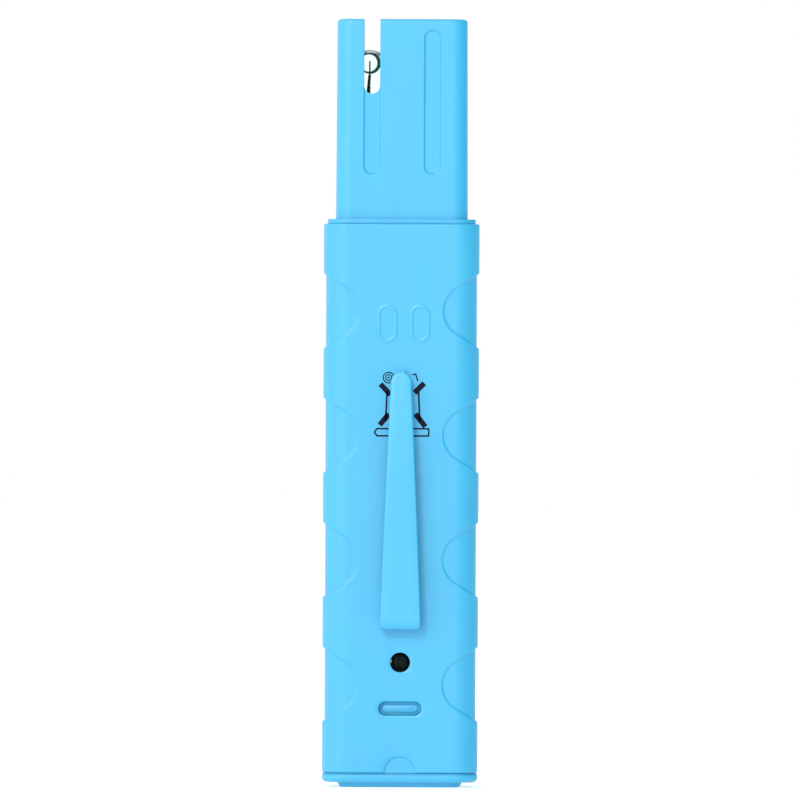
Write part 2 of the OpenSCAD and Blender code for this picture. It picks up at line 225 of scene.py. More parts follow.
class Paint:
    """One material: a Principled shader and the nodes that feed it."""

    def __init__(self, name, colour, roughness=0.45, metallic=0.0, **fixed):
        self.material = bpy.data.materials.new(name)
        self.material.use_nodes = True
        self.nodes = self.material.node_tree.nodes
        self.links = self.material.node_tree.links
        self.nodes.clear()
        self.shader = self.nodes.new("ShaderNodeBsdfPrincipled")
        self.output = self.nodes.new("ShaderNodeOutputMaterial")
        self.links.new(self.shader.outputs[0], self.output.inputs[0])
        self.shader.inputs["Base Color"].default_value = (*colour, 1)
        self.shader.inputs["Roughness"].default_value = roughness
        self.shader.inputs["Metallic"].default_value = metallic
        for socket, value in fixed.items():
            self.shader.inputs[socket.replace("_", " ")].default_value = value
        self.colour = colour
        self.material.diffuse_color = (*colour, 1)

    def feed(self, slot, value):
        """Sets an input, or links it where the value comes from another node."""
        if isinstance(value, Number):
            self.links.new(value.socket, slot)
        elif isinstance(value, bpy.types.NodeSocket):
            self.links.new(value, slot)
        elif isinstance(value, tuple) and len(value) == 3 and slot.type == "RGBA":
            slot.default_value = (*value, 1)
        else:
            slot.default_value = value

    def node(self, kind, settings=None, **inputs):
        node = self.nodes.new("ShaderNode" + kind)
        for name, value in (settings or {}).items():
            setattr(node, name, value)
        for name, value in inputs.items():
            self.feed(node.inputs[name.replace("_", " ")], value)
        return node

    def place(self, scale=(1, 1, 1)):
        """Object coordinates in millimetres, stretched by scale."""
        source = self.node("TexCoord")
        scaled = tuple(s / MM for s in scale)
        return self.node("Mapping", Vector=source.outputs["Object"], Scale=scaled).outputs[0]

    def axes(self):
        """The three object coordinates as numbers, in millimetres."""
        split = self.node("SeparateXYZ", Vector=self.place())
        return [Number(self, socket) for socket in split.outputs]

    def noise(self, scale, detail=2.0, stretch=(1, 1, 1), roughness=0.5):
        made = self.node(
            "TexNoise",
            Vector=self.place(stretch),
            Scale=scale,
            Detail=detail,
            Roughness=roughness,
        )
        return Number(self, made.outputs[0])

    def cells(self, scale, stretch=(1, 1, 1)):
        made = self.node("TexVoronoi", Vector=self.place(stretch), Scale=scale)
        return Number(self, made.outputs["Distance"])

    def ramp(self, value, low, high, to_low=0.0, to_high=1.0):
        """value as it goes from low to high, turned smoothly into to_low to to_high."""
        made = self.node(
            "MapRange",
            {"interpolation_type": "SMOOTHSTEP"},
            Value=value,
            From_Min=low,
            From_Max=high,
            To_Min=to_low,
            To_Max=to_high,
        )
        return Number(self, made.outputs[0])

    def mix(self, mask, first, second):
        made = self.node("Mix", {"data_type": "RGBA"})
        self.feed(made.inputs["Factor"], mask)
        self.feed(made.inputs[6], first)
        self.feed(made.inputs[7], second)
        return made.outputs[2]

    def bump(self, height, strength, depth):
        """Raises the surface by height, at most depth millimetres."""
        made = self.node("Bump", Strength=strength, Distance=depth * MM, Height=height)
        self.links.new(made.outputs[0], self.shader.inputs["Normal"])

    def set(self, **inputs):
        for name, value in inputs.items():
            self.feed(self.shader.inputs[name.replace("_", " ")], value)
        return self


def tinted(colour, amount):
    """colour made lighter, or darker where amount is below 1."""
    return tuple(min(1.0, part * amount) for part in colour)


# ---------------------------------------------------------------- finishes


def moulded_abs(name, colour, grain=1.0):
    """Satin injection-moulded plastic: fine spark-eroded grain, faint flow marks and a few rubbed places."""
    paint = Paint(name, colour, 0.34, IOR=1.58, Specular_IOR_Level=0.65)
    grain_fine = paint.noise(7.5, 3.0)
    grain_coarse = paint.noise(2.6, 2.0)
    flow = paint.noise(0.09, 3.0, stretch=(1.6, 1.6, 0.5))
    rub = paint.ramp(paint.noise(1.1, 4.0, stretch=(1.0, 1.0, 0.2)), 0.64, 0.74)
    paint.set(
        Base_Color=paint.mix(paint.ramp(flow, 0.3, 0.7), tinted(colour, 0.98), tinted(colour, 1.02)),
        Roughness=0.34 + grain_coarse * 0.08 + flow * 0.04 - rub * 0.04,
    )
    paint.bump(grain_fine * 0.6 + grain_coarse * 0.4, 0.28 * grain, 0.02)
    return paint.material


def polished_plastic(name, colour, roughness=0.22, mottle=0.05, gloss=0.5):
    paint = Paint(name, colour, roughness, IOR=1.5, Specular_IOR_Level=gloss)
    cloud = paint.noise(0.5, 3.0)
    specks = paint.noise(9.0, 2.0)
    paint.set(
        Base_Color=paint.mix(cloud, tinted(colour, 1 - mottle), tinted(colour, 1 + mottle)),
        Roughness=roughness + specks * 0.08,
    )
    paint.bump(specks, 0.1, 0.01)
    return paint.material


def soft_rubber(name, colour):
    paint = Paint(name, colour, 0.6, IOR=1.45)
    dust = paint.noise(3.0, 4.0)
    pores = paint.noise(12.0, 2.0)
    paint.set(
        Base_Color=paint.mix(paint.ramp(dust, 0.45, 0.75), colour, tinted(colour, 1.5)),
        Roughness=0.52 + dust * 0.2,
    )
    paint.bump(pores, 0.25, 0.02)
    return paint.material


def plated_metal(name, colour, roughness=0.28, drawn=(1, 1, 8)):
    """Plated or drawn metal: fine lines along one axis and faint tarnish."""
    paint = Paint(name, colour, roughness, 1.0)
    lines = paint.noise(6.0, 3.0, stretch=drawn)
    tarnish = paint.ramp(paint.noise(0.6, 4.0), 0.4, 0.75)
    paint.set(
        Base_Color=paint.mix(tarnish * 0.5, colour, tinted(colour, 0.72)),
        Roughness=roughness - 0.06 + lines * 0.14 + tarnish * 0.1,
    )
    paint.bump(lines, 0.18, 0.01)
    return paint.material


def clear_glass(name, colour, ior, rim=None, edge_shade_start=0.5, one_side_shade=0.0, roughness=0.02):
    """Clear glass or liquid with faint waves, with painted shade that darkens it where seen edge on in place
    of the dark edges that refraction gives, and more painted shade towards one side.
    """
    paint = Paint(name, colour, roughness, IOR=ior, Transmission_Weight=1.0)
    waves = paint.noise(0.4, 1.0)
    haze = paint.ramp(paint.noise(1.4, 3.0), 0.5, 0.9)
    # Painted shade: the colour darkens where the surface is seen edge on, in place of the dark edges that
    # refraction and reflection give.
    facing = Number(paint, paint.node("LayerWeight", Blend=0.5).outputs["Facing"])
    if one_side_shade:
        # Painted shade, heavier towards +X, the side away from the lamp.
        facing = facing + (paint.axes()[0] - PROBE_X) * one_side_shade
    outline = paint.ramp(facing, edge_shade_start, min(1.0, edge_shade_start + 0.12))
    clear = paint.mix(haze * 0.3, colour, tinted(colour, 0.96))
    paint.set(
        # rim, or a darker tint of the glass, is the colour of the painted edge shade.
        Base_Color=paint.mix(outline, clear, rim or tinted(colour, 0.9)),
        Roughness=roughness + haze * 0.03,
    )
    paint.bump(waves, 0.05, 0.02)
    return paint.material


def solder_mask():
    """Green circuit board: masked copper tracks, vias and a slightly wavy mask."""
    mask, copper = (0.02, 0.16, 0.07), (0.05, 0.27, 0.13)
    paint = Paint("solder_mask", mask, 0.3, IOR=1.5)
    x, _, z = paint.axes()
    wave = paint.noise(0.22, 0.0)
    tracks = ((x + wave * 3.0) * 0.8).maths("FRACT").above(0.62)
    crossing = ((z + wave * 4.0) * 0.35).maths("FRACT").above(0.86)
    route = tracks.most(crossing)
    vias = paint.cells(0.55).below(0.16)
    paint.set(
        Base_Color=paint.mix(vias, paint.mix(route, mask, copper), (0.55, 0.42, 0.16)),
        Metallic=vias * 0.9,
        Roughness=0.28 + wave * 0.12,
    )
    paint.bump(route.most(vias), 0.4, 0.03)
    return paint.material


def striped_silicone():
    """Elastomer connector: thin conductive layers along X."""
    paint = Paint("striped_silicone", (0.05, 0.05, 0.055), 0.6)
    x = paint.axes()[0]
    stripe = (x * 5.0).maths("FRACT").above(0.5)
    paint.set(Base_Color=paint.mix(stripe, (0.03, 0.03, 0.035), (0.32, 0.32, 0.34)))
    paint.bump(stripe, 0.3, 0.02)
    return paint.material


def liquid_crystal():
    """Reflective display glass: grey-green, with faint mottling and a fine grain."""
    colour = (0.34, 0.4, 0.32)
    paint = Paint("liquid_crystal", colour, 0.16, IOR=1.5, Coat_Weight=0.6, Coat_Roughness=0.05)
    mottle = paint.noise(0.3, 3.0)
    grain = paint.noise(14.0, 1.0)
    paint.set(
        Base_Color=paint.mix(mottle, tinted(colour, 0.93), tinted(colour, 1.06)),
        Roughness=0.3 + grain * 0.1,
    )
    paint.bump(grain, 0.06, 0.01)
    return paint.material


def porous_ceramic():
    paint = Paint("porous_ceramic", (0.82, 0.81, 0.77), 0.85)
    pores = paint.cells(5.0)
    stain = paint.ramp(paint.noise(0.7, 3.0), 0.4, 0.8)
    paint.set(
        Base_Color=paint.mix(stain * 0.35, (0.82, 0.81, 0.77), (0.62, 0.58, 0.48)),
        Roughness=0.75 + pores * 0.2,
    )
    paint.bump(pores, 0.6, 0.05)
    return paint.material


def glowing_floor():
    """A pale, softly lit table top."""
    paint = Paint("studio_floor", (0.6, 0.6, 0.6), 0.7, Emission_Color=(1, 1, 1, 1), Emission_Strength=0.55)
    cloud = paint.noise(0.01, 2.0)
    paint.set(
        Base_Color=paint.mix(cloud, (0.6, 0.6, 0.6), (0.63, 0.63, 0.63)),
        Roughness=0.65 + cloud * 0.1,
    )
    paint.bump(paint.noise(0.5, 2.0), 0.1, 0.1)
    return paint.material


def printing_ink():
    """Pad-printed black ink: dense, a little glossy, with pinholes."""
    paint = Paint("printing_ink", (0.006, 0.007, 0.02), 0.5, IOR=1.3, Specular_IOR_Level=0.2)
    pinholes = paint.ramp(paint.noise(6.0, 3.0), 0.66, 0.76)
    paint.set(
        Base_Color=paint.mix(pinholes * 0.3, (0.006, 0.007, 0.02), (0.03, 0.1, 0.16)),
        Roughness=0.4 + pinholes * 0.2,
    )
    paint.bump(paint.noise(9.0, 2.0), 0.2, 0.01)
    return paint.material


def label_film():
    """Satin overlay film: pale, with a blue band at its head and foot and a dark surround for the display."""
    pale, band, dark = (0.78, 0.83, 0.86), (0.02, 0.16, 0.42), (0.03, 0.045, 0.07)
    paint = Paint("label_film", pale, 0.34, IOR=1.5)
    x, _, z = paint.axes()
    grain = paint.noise(10.0, 2.0)
    band_h, surround_half_w, surround_half_h = 3.2, 9.4, 5.7
    ring_r, ring_half_line = 6.1, 0.3
    edge = (z - LABEL_Z).absolute().above(LABEL_H / 2 - band_h)
    pane_x = x.absolute().below(surround_half_w)
    pane_z = (z - PANE_Z).absolute().below(surround_half_h)
    from_button = (x * x + (z - BUTTON_Z) * (z - BUTTON_Z)).power(0.5)
    ring = (from_button - ring_r).absolute().below(ring_half_line)
    paint.set(
        Base_Color=paint.mix(pane_x * pane_z, paint.mix(edge.most(ring), pale, band), dark),
        Roughness=0.3 + grain * 0.12,
    )
    paint.bump(grain, 0.15, 0.01)
    return paint.material


BODY_BLUE = (0.034, 0.385, 0.63)

finishes = {
    "housing": moulded_abs("housing_abs", BODY_BLUE),
    "clip": moulded_abs("clip_abs", tinted(BODY_BLUE, 1.03), 0.7),
    "cap": moulded_abs("cap_abs", tinted(BODY_BLUE, 1.02), 0.9),
    "label": label_film(),
    # Painted shade darkens the acrylic slightly where it is seen edge on.
    "pane": clear_glass("clear_acrylic", (0.93, 0.97, 0.97), 1.49),
    "lcd": liquid_crystal(),
    "segments": polished_plastic("ghost_segment", (0.24, 0.29, 0.24), 0.3),
    "white": polished_plastic("white_polymer", (0.66, 0.66, 0.635), 0.38),
    "silicone": striped_silicone(),
    "board": solder_mask(),
    "chip": moulded_abs("chip_epoxy", (0.022, 0.022, 0.025), 1.4),
    "switch": polished_plastic("switch_black", (0.02, 0.02, 0.024)),
    "trimmer": polished_plastic("trimmer_teal", (0.004, 0.022, 0.024), 0.4, gloss=0.2),
    "rotor": polished_plastic("rotor_green", (0.004, 0.03, 0.024), 0.35, gloss=0.2),
    "gilt": plated_metal("gilt_spring", (0.85, 0.62, 0.28), 0.24),
    "zinc": plated_metal("zinc_screw", (0.62, 0.63, 0.66), 0.3, (1, 8, 1)),
    "seal": soft_rubber("seal_rubber", (0.035, 0.3, 0.5)),
    "potting": polished_plastic("potting_epoxy", (0.03, 0.03, 0.036), 0.18, 0.15),
    # The bulb's glass gets a grey painted shade rim where seen edge on, and the solution a slight one.
    "glass": clear_glass("bulb_glass", (0.97, 0.99, 0.985), 1.06, (0.16, 0.19, 0.19), 0.52),
    "solution": clear_glass("clear_solution", (0.97, 0.99, 0.985), 1.02),
    # The bubble gets a dark green painted rim in place of the reflection at its edge, heavier on the right as
    # painted shade.
    "bubble": clear_glass("air_bubble", (0.98, 0.99, 0.99), 1.02, (0.012, 0.07, 0.05), 0.3, 0.08),
    "silver": plated_metal("silver_wire", (0.55, 0.55, 0.53), 0.3),
    "chloride": polished_plastic("chlorided_silver", (0.035, 0.028, 0.03), 0.55, 0.2),
    "ceramic": porous_ceramic(),
    "lead": polished_plastic("lead_pvc", (0.5, 0.02, 0.015), 0.35),
    "button": soft_rubber("button_rubber", (0.02, 0.07, 0.2)),
    "nickel": plated_metal("nickel_steel", (0.66, 0.66, 0.64), 0.22, (8, 1, 1)),
    "cell": plated_metal("cell_steel", (0.62, 0.62, 0.6), 0.2, (1, 6, 6)),
    "ink": printing_ink(),
    "floor": glowing_floor(),
}


# ---------------------------------------------------------------- mesh tools


def stops(low, high, zones=(), fine=0.3, coarse=2.0):
    """Positions from low to high, close together inside the zones and far apart outside them."""
    inner = [(max(low, a), min(high, b)) for a, b in zones if b > low and a < high]
    marks = sorted({low, high, *(edge for zone in inner for edge in zone)})
    out = [low]
    for start, end in zip(marks, marks[1:]):
        if end - start < 1e-6:
            continue
        middle = (start + end) / 2
        step = fine if any(a <= middle <= b for a, b in inner) else coarse
        count = max(1, math.ceil((end - start) / step - 1e-6))
        out += [start + (end - start) * k / count for k in range(1, count + 1)]
    return out


def walk_round(half_w, half_d, x_stops=(0,), y_stops=(0,), corner_steps=8):
    """One turn round a rectangle with round corners.

    half_w and half_d reach the corners' centres. Each stop is (centre x, centre y, normal x, normal y)."""
    turn = []
    corners = [(1, 1), (-1, 1), (-1, -1), (1, -1)]
    sides = [
        [(half_w, y, 1, 0) for y in y_stops],
        [(x, half_d, 0, 1) for x in reversed(x_stops)],
        [(-half_w, y, -1, 0) for y in reversed(y_stops)],
        [(x, -half_d, 0, -1) for x in x_stops],
    ]
    for quarter, (sx, sy) in enumerate(corners):
        turn += sides[quarter]
        for step in range(corner_steps + 1):
            angle = math.radians(90) * (quarter + step / corner_steps)
            turn.append((sx * half_w, sy * half_d, math.cos(angle), math.sin(angle)))
    return turn


def tube(turn, rows, place):
    """A closed bar: place(stop, row) puts each point of a grid that is wrapped round and capped."""
    mesh = bmesh.new()
    columns, heights = len(turn), len(rows) - 1
    bmesh.ops.create_grid(mesh, x_segments=columns, y_segments=heights, size=0.5)
    for vert in mesh.verts:
        column = round((vert.co.x + 0.5) * columns) % columns
        row = round((vert.co.y + 0.5) * heights)
        vert.co = place(turn[column], rows[row])
    bmesh.ops.remove_doubles(mesh, verts=mesh.verts, dist=1e-5)
    rim = [edge for edge in mesh.edges if edge.is_boundary]
    bmesh.ops.holes_fill(mesh, edges=rim, sides=0)
    bmesh.ops.recalc_face_normals(mesh, faces=mesh.faces)
    return mesh


def rim_inset(z, low, high, radius):
    """How far a bar's surface draws in near its ends, so that their rims are round."""
    near = min(z - low, high - z)
    if near >= radius:
        return 0.0
    return radius - math.sqrt(max(0.0, radius**2 - (radius - near) ** 2))


def bar(width, depth, radius, low, high, rim=0.0, corner_steps=8):
    """A plain bar with round corners, standing from low to high, with rims rounded by rim."""
    turn = walk_round(width / 2 - radius, depth / 2 - radius, corner_steps=corner_steps)
    zones = [(low, low + rim), (high - rim, high)] if rim else []
    rows = stops(low, high, zones, max(rim, 0.01) / 4, high - low)

    def place(stop, z):
        reach = radius - rim_inset(z, low, high, rim)
        return Vector((stop[0] + stop[2] * reach, stop[1] + stop[3] * reach, z))

    return tube(turn, rows, place)


def rod(radius, low, high):
    """An upright round rod."""
    return bar(2 * radius, 2 * radius, radius - HAIR, low, high)


def laid(mesh, x, z, front=False):
    """Lays a standing shape along Y at x and z: its height becomes how far out of the back or front it is."""
    turn = Matrix.Rotation(math.radians(-90 if front else 90), 4, "X")
    bmesh.ops.transform(mesh, matrix=Matrix.Translation((x, 0, z)) @ turn, verts=mesh.verts)
    return mesh


def mouth(width, height, radius, x, z, surface, deep, chamfer=0.15, front=False):
    """A cutter for a hole or recess, deep millimetres into a face, with its edge eased by chamfer."""
    turn = walk_round(width / 2 - radius, height / 2 - radius, corner_steps=12)
    rows = [surface - deep, surface - chamfer, surface - chamfer / 3, surface, surface + 1]

    def place(stop, out):
        eased = max(0.0, out - (surface - chamfer))
        reach = radius + min(chamfer, eased) * (0.45 if out < surface else 1.0)
        reach = min(reach, radius + chamfer)
        return Vector((stop[0] + stop[2] * reach, stop[1] + stop[3] * reach, out))

    return laid(tube(turn, rows, place), x, z, front)


def round_mouth(radius, x, z, surface, deep, chamfer=0.15, front=False):
    return mouth(2 * radius, 2 * radius, radius - HAIR, x, z, surface, deep, chamfer, front)


def turned(profile, x=0.0, steps=48):
    """A solid of revolution about a vertical axis, from points (radius, height)."""
    mesh = bmesh.new()
    points = [mesh.verts.new((radius, 0, height)) for radius, height in profile]
    edges = [mesh.edges.new(pair) for pair in zip(points, points[1:])]
    bmesh.ops.spin(
        mesh,
        geom=points + edges,
        axis=(0, 0, 1),
        cent=(0, 0, 0),
        angle=math.tau,
        steps=steps,
        use_merge=True,
    )
    bmesh.ops.remove_doubles(mesh, verts=mesh.verts, dist=1e-4)
    bmesh.ops.delete(mesh, geom=[edge for edge in mesh.edges if edge.is_wire], context="EDGES")
    bmesh.ops.translate(mesh, vec=(x, 0, 0), verts=mesh.verts)
    bmesh.ops.recalc_face_normals(mesh, faces=mesh.faces)
    return mesh


def arc(cx, cz, radius, start, end, steps):
    """Points (radius, height) along an arc, angles in degrees from the horizontal."""
    turn = [math.radians(start + (end - start) * k / steps) for k in range(steps + 1)]
    return [(cx + radius * math.cos(a), cz + radius * math.sin(a)) for a in turn]


def box_mesh(low, high, ease=0.0):
    """A block between two corners, its edges eased by a small bevel."""
    mesh = bmesh.new()
    bmesh.ops.create_cube(mesh, size=1)
    size = Vector(high) - Vector(low)
    bmesh.ops.scale(mesh, vec=size, verts=mesh.verts)
    bmesh.ops.translate(mesh, vec=(Vector(low) + Vector(high)) / 2, verts=mesh.verts)
    if ease:
        ease_edges(mesh, ease)
    return mesh


def ease_edges(mesh, width, limit=30, segments=2):
    """Bevels every edge that turns by more than limit degrees."""
    sharp = [
        edge
        for edge in mesh.edges
        if edge.is_manifold and edge.calc_face_angle(0) > math.radians(limit)
    ]
    bmesh.ops.bevel(
        mesh,
        geom=sharp,
        offset=width,
        offset_type="OFFSET",
        segments=segments,
        profile=0.5,
        affect="EDGES",
        clamp_overlap=True,
        material=-1,
    )


def as_object(mesh, name="tool"):
    data = bpy.data.meshes.new(name)
    mesh.to_mesh(data)
    mesh.free()
    made = bpy.data.objects.new(name, data)
    scene.collection.objects.link(made)
    return made


def combined(base, *tools, operation="DIFFERENCE"):
    """The base mesh with each tool cut out of it, or added to it, as a new bmesh."""
    target = as_object(base)
    helpers = [as_object(tool) for tool in tools]
    for helper in helpers:
        step = target.modifiers.new("join", "BOOLEAN")
        step.operation = operation
        step.solver = "EXACT"
        step.object = helper
    graph = bpy.context.evaluated_depsgraph_get()
    graph.update()
    result = bmesh.new()
    result.from_object(target, graph)
    for used in (target, *helpers):
        data = used.data
        bpy.data.objects.remove(used)
        bpy.data.meshes.remove(data)
    return result


def merged(*meshes):
    """Several meshes as one, left as they are."""
    whole = bmesh.new()
    for mesh in meshes:
        data = bpy.data.meshes.new("part")
        mesh.to_mesh(data)
        mesh.free()
        whole.from_mesh(data)
        bpy.data.meshes.remove(data)
    return whole


def piece(name, mesh, finish, body=None, nodes=(), sharp=32):
    """Finishes a mesh in millimetres as a piece in metres, with smooth shading between its sharp edges."""
    bmesh.ops.remove_doubles(mesh, verts=mesh.verts, dist=1e-4)
    bmesh.ops.dissolve_degenerate(mesh, edges=mesh.edges, dist=1e-4)
    for face in mesh.faces:
        face.smooth = True
    for edge in mesh.edges:
        edge.smooth = not edge.is_manifold or edge.calc_face_angle(0) < math.radians(sharp)
    bmesh.ops.scale(mesh, vec=(MM, MM, MM), verts=mesh.verts)
    made = as_object(mesh, name)
    made.data.materials.append(finishes[finish])
    if nodes:
        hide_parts(*nodes)
    if body:
        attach(made, body)
    return made


def softened(node, finish, body, width=0.08, limit=35):
    """A copy of a CAD node with its edges eased, which stands for it."""
    mesh = bmesh.new()
    mesh.from_mesh(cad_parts[node].data)
    bmesh.ops.scale(mesh, vec=(1 / MM,) * 3, verts=mesh.verts)
    bmesh.ops.remove_doubles(mesh, verts=mesh.verts, dist=1e-3)
    bmesh.ops.dissolve_limit(mesh, angle_limit=math.radians(2), verts=mesh.verts, edges=mesh.edges)
    ease_edges(mesh, width, limit)
    return piece(node + "_finished", mesh, finish, body, [node])


def paint_node(node, finish):
    """Gives a CAD node its finish."""
    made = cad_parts[node]
    made.data.materials.clear()
    made.data.materials.append(finishes[finish])


# ---------------------------------------------------------------- housing


def scoop_share(x, z):
    """How deep inside a grip recess a point of the housing's surface is: 0 outside, 1 on its floor."""
    across = abs(x) - (BODY_W / 2 - SCOOP_INSET)
    up = min(abs(z - centre) for centre in SCOOP_CENTRES)
    lean = math.hypot(1, SCOOP_TAIL_SLOPE)
    tail_x = -SCOOP_RADIUS * SCOOP_TAIL_SLOPE / lean
    tail_z = SCOOP_RADIUS / lean
    if (across - tail_x) + SCOOP_TAIL_SLOPE * (up - tail_z) > 0:
        outside = (up - tail_z - SCOOP_TAIL_SLOPE * (across - tail_x)) / lean
    else:
        outside = math.hypot(across, up) - SCOOP_RADIUS
    share = min(1.0, max(0.0, 0.5 - outside / SCOOP_EDGE))
    return share * share * (3 - 2 * share)


def housing_tube():
    """The housing's outside: grip recesses, eased ends and a fine groove where its halves meet."""
    rim, fine, least_gap = 0.35, 0.18, 1e-4
    groove_depth, groove_half_w = 0.1, 0.13
    flat = BODY_W / 2 - BODY_R
    x_zones = [(-flat, -SCOOP_START_X), (SCOOP_START_X, flat)]
    x_stops = stops(-flat + fine, flat - fine, x_zones, fine, 2.6)
    half_stops = [groove_half_w, 0.6, 1.6, 2.9]
    y_stops = [*(-y for y in reversed(half_stops)), 0, *half_stops]
    turn = walk_round(flat, BODY_D / 2 - BODY_R, x_stops, y_stops, 36)
    zones = [(centre - SCOOP_HALF_HEIGHT, centre + SCOOP_HALF_HEIGHT) for centre in SCOOP_CENTRES]
    heights = set(stops(BODY_BOTTOM, BODY_TOP, zones, 0.17, 2.0))
    for low, high in ((BODY_BOTTOM, BODY_BOTTOM + rim), (BODY_TOP - rim, BODY_TOP)):
        heights |= set(stops(low, high, [(low, high)], 0.07))
    rows = sorted(heights)
    rows = [rows[0]] + [b for a, b in zip(rows, rows[1:]) if b - a > least_gap]

    def place(stop, z):
        cx, cy, nx, ny = stop
        deep = SCOOP_FACE_DEPTH + (SCOOP_SIDE_DEPTH - SCOOP_FACE_DEPTH) * nx * nx
        share = scoop_share(cx + nx * BODY_R, z)
        groove = groove_depth if cy == 0 and abs(nx) == 1 else 0.0
        reach = BODY_R - share * deep - groove - rim_inset(z, BODY_BOTTOM, BODY_TOP, rim)
        return Vector((cx + nx * reach, cy + ny * reach, z))

    return tube(turn, rows, place)


def half_of(mesh, front):
    """The front or the back half of a closed shape."""
    bmesh.ops.bisect_plane(
        mesh,
        geom=[*mesh.verts, *mesh.edges, *mesh.faces],
        plane_co=(0, 0, 0),
        plane_no=(0, 1, 0),
        clear_inner=front,
        clear_outer=not front,
        dist=1e-5,
    )
    rim = [edge for edge in mesh.edges if edge.is_boundary]
    bmesh.ops.holes_fill(mesh, edges=rim, sides=0)
    bmesh.ops.recalc_face_normals(mesh, faces=mesh.faces)
    return mesh


def cavity():
    """The cutter for the room inside the housing, open at the bottom."""
    inner_w, inner_d = BODY_W - 2 * WALL, BODY_D - 2 * WALL
    return bar(inner_w, inner_d, BODY_R - WALL, BODY_BOTTOM - 1, BODY_TOP - WALL, corner_steps=12)


def collar_opening():
    """The cutter for the opening that holds the guard's spigot."""
    width, depth, radius = SPIGOT_W + SPIGOT_PLAY, SPIGOT_D + SPIGOT_PLAY, SPIGOT_R + SPIGOT_PLAY
    return bar(width, depth, radius, BODY_TOP - WALL - 1, BODY_TOP + 1, corner_steps=12)


def moulded_ring(x, z, width, height, stroke, proud):
    """A raised ring with round ends and a rounded crown, standing on the back."""
    outer = walk_round(0.001, (height - width) / 2, corner_steps=16)
    steps = 6

    def place(stop, row):
        angle = math.pi * row / steps
        reach = width / 2 - stroke / 2 - math.cos(angle) * stroke / 2
        out = -BACK - 0.05 + math.sin(angle) * (proud + 0.05)
        return Vector((stop[0] + stop[2] * reach, stop[1] + stop[3] * reach, out))

    mesh = bmesh.new()
    bmesh.ops.create_grid(mesh, x_segments=len(outer), y_segments=steps, size=0.5)
    for vert in mesh.verts:
        column = round((vert.co.x + 0.5) * len(outer)) % len(outer)
        row = round((vert.co.y + 0.5) * steps)
        vert.co = place(outer[column], row)
    bmesh.ops.remove_doubles(mesh, verts=mesh.verts, dist=1e-4)
    rims = [edge for edge in mesh.edges if edge.is_boundary]
    bmesh.ops.bridge_loops(mesh, edges=rims)
    bmesh.ops.recalc_face_normals(mesh, faces=mesh.faces)
    return laid(mesh, x, z)


def rear_shell():
    """The back half: hole, latch window, thumbnail notch, raised rings, board posts and alignment lips."""
    shape = half_of(housing_tube(), front=False)
    notch_r, notch_z, notch_depth = 2.95, 2.95, 0.32
    inside, tongue_bed, through = -6, -7.65, 3
    peg_x, tongue_x = PEG_HALF_W + PEG_PLAY, TONGUE_HALF_W + 0.3
    shape = combined(
        shape,
        cavity(),
        collar_opening(),
        round_mouth(ACCESS_R, 0, ACCESS_Z, -BACK, through, 0.06),
        mouth(WINDOW_W, WINDOW_H, WINDOW_H / 2 - HAIR, 0, WINDOW_Z, -BACK, through, 0.28),
        round_mouth(notch_r, 0, notch_z, -BACK, notch_depth, 0.3),
        box_mesh((-tongue_x, tongue_bed, BODY_BOTTOM - 1), (tongue_x, inside, WINDOW_Z)),
        box_mesh((-peg_x, BACK - 1, PEG_FOOT - PEG_PLAY), (peg_x, inside, PEG_TOP + PEG_PLAY)),
    )
    ring_z, ring_w, ring_h, ring_line, ring_proud = 90.5, 4.2, 7.6, 0.9, 0.13
    rings = [moulded_ring(x, ring_z, ring_w, ring_h, ring_line, ring_proud) for x in (-2.8, 3.6)]
    post_r, post_x, post_z = 1.3, 8, 72
    posts = [laid(rod(post_r, -0.9, 6.3), x, post_z) for x in (-post_x, post_x)]
    lip_x, lip_half_w, lip_reach = 13.96, 0.35, 0.95
    lips = [
        box_mesh((x - lip_half_w, -0.4, LIP_FOOT), (x + lip_half_w, lip_reach, LIP_TOP))
        for x in (-lip_x, lip_x)
    ]
    whole = merged(shape, *rings, *posts, *lips)
    return piece("rear_shell_moulding", whole, "housing", "housing", ["rear_shell"])


def front_shell():
    """The front half: label recess, openings for window and button, screw bosses and lip slots."""
    shape = half_of(housing_tube(), front=True)
    label_play, pane_play, button_r, through = 0.12, 0.1, 4.55, 3
    slot_x, slot_half_w, slot_reach = 13.94, 0.4, 1.05
    foot, top = LIP_FOOT - LIP_PLAY, LIP_TOP + LIP_PLAY
    slots = [
        box_mesh((x - slot_half_w, -0.1, foot), (x + slot_half_w, slot_reach, top))
        for x in (-slot_x, slot_x)
    ]
    shape = combined(
        shape,
        cavity(),
        collar_opening(),
        mouth(LABEL_W + label_play, LABEL_H + label_play, 2.05, 0, LABEL_Z, FRONT, 0.3, 0.1, True),
        mouth(PANE_W + pane_play, PANE_H + pane_play, 1, 0, PANE_Z, FRONT, through, 0.02, True),
        round_mouth(button_r, 0, BUTTON_Z, FRONT, through, 0.02, True),
        *slots,
    )
    bosses = [laid(bar(4.2, 4.2, 2.09, 2.2, 7.4), x, z, True) for x in (-9.3, 9.3) for z in (28.5, 92)]
    whole = merged(shape, *bosses)
    return piece("front_shell_moulding", whole, "housing", "housing", ["front_shell"])


# ---------------------------------------------------------------- probe guard


def groove_share(x, z, middle, low, high):
    """How deep inside a round-ended groove a point is: 0 outside, 1 on its floor."""
    radius = SLOT_W / 2
    along = max(low + radius - z, z - (high - radius), 0)
    outside = math.hypot(x - middle, along) - radius
    share = min(1.0, max(0.0, 0.5 - outside / GROOVE_EDGE))
    return share * share * (3 - 2 * share)


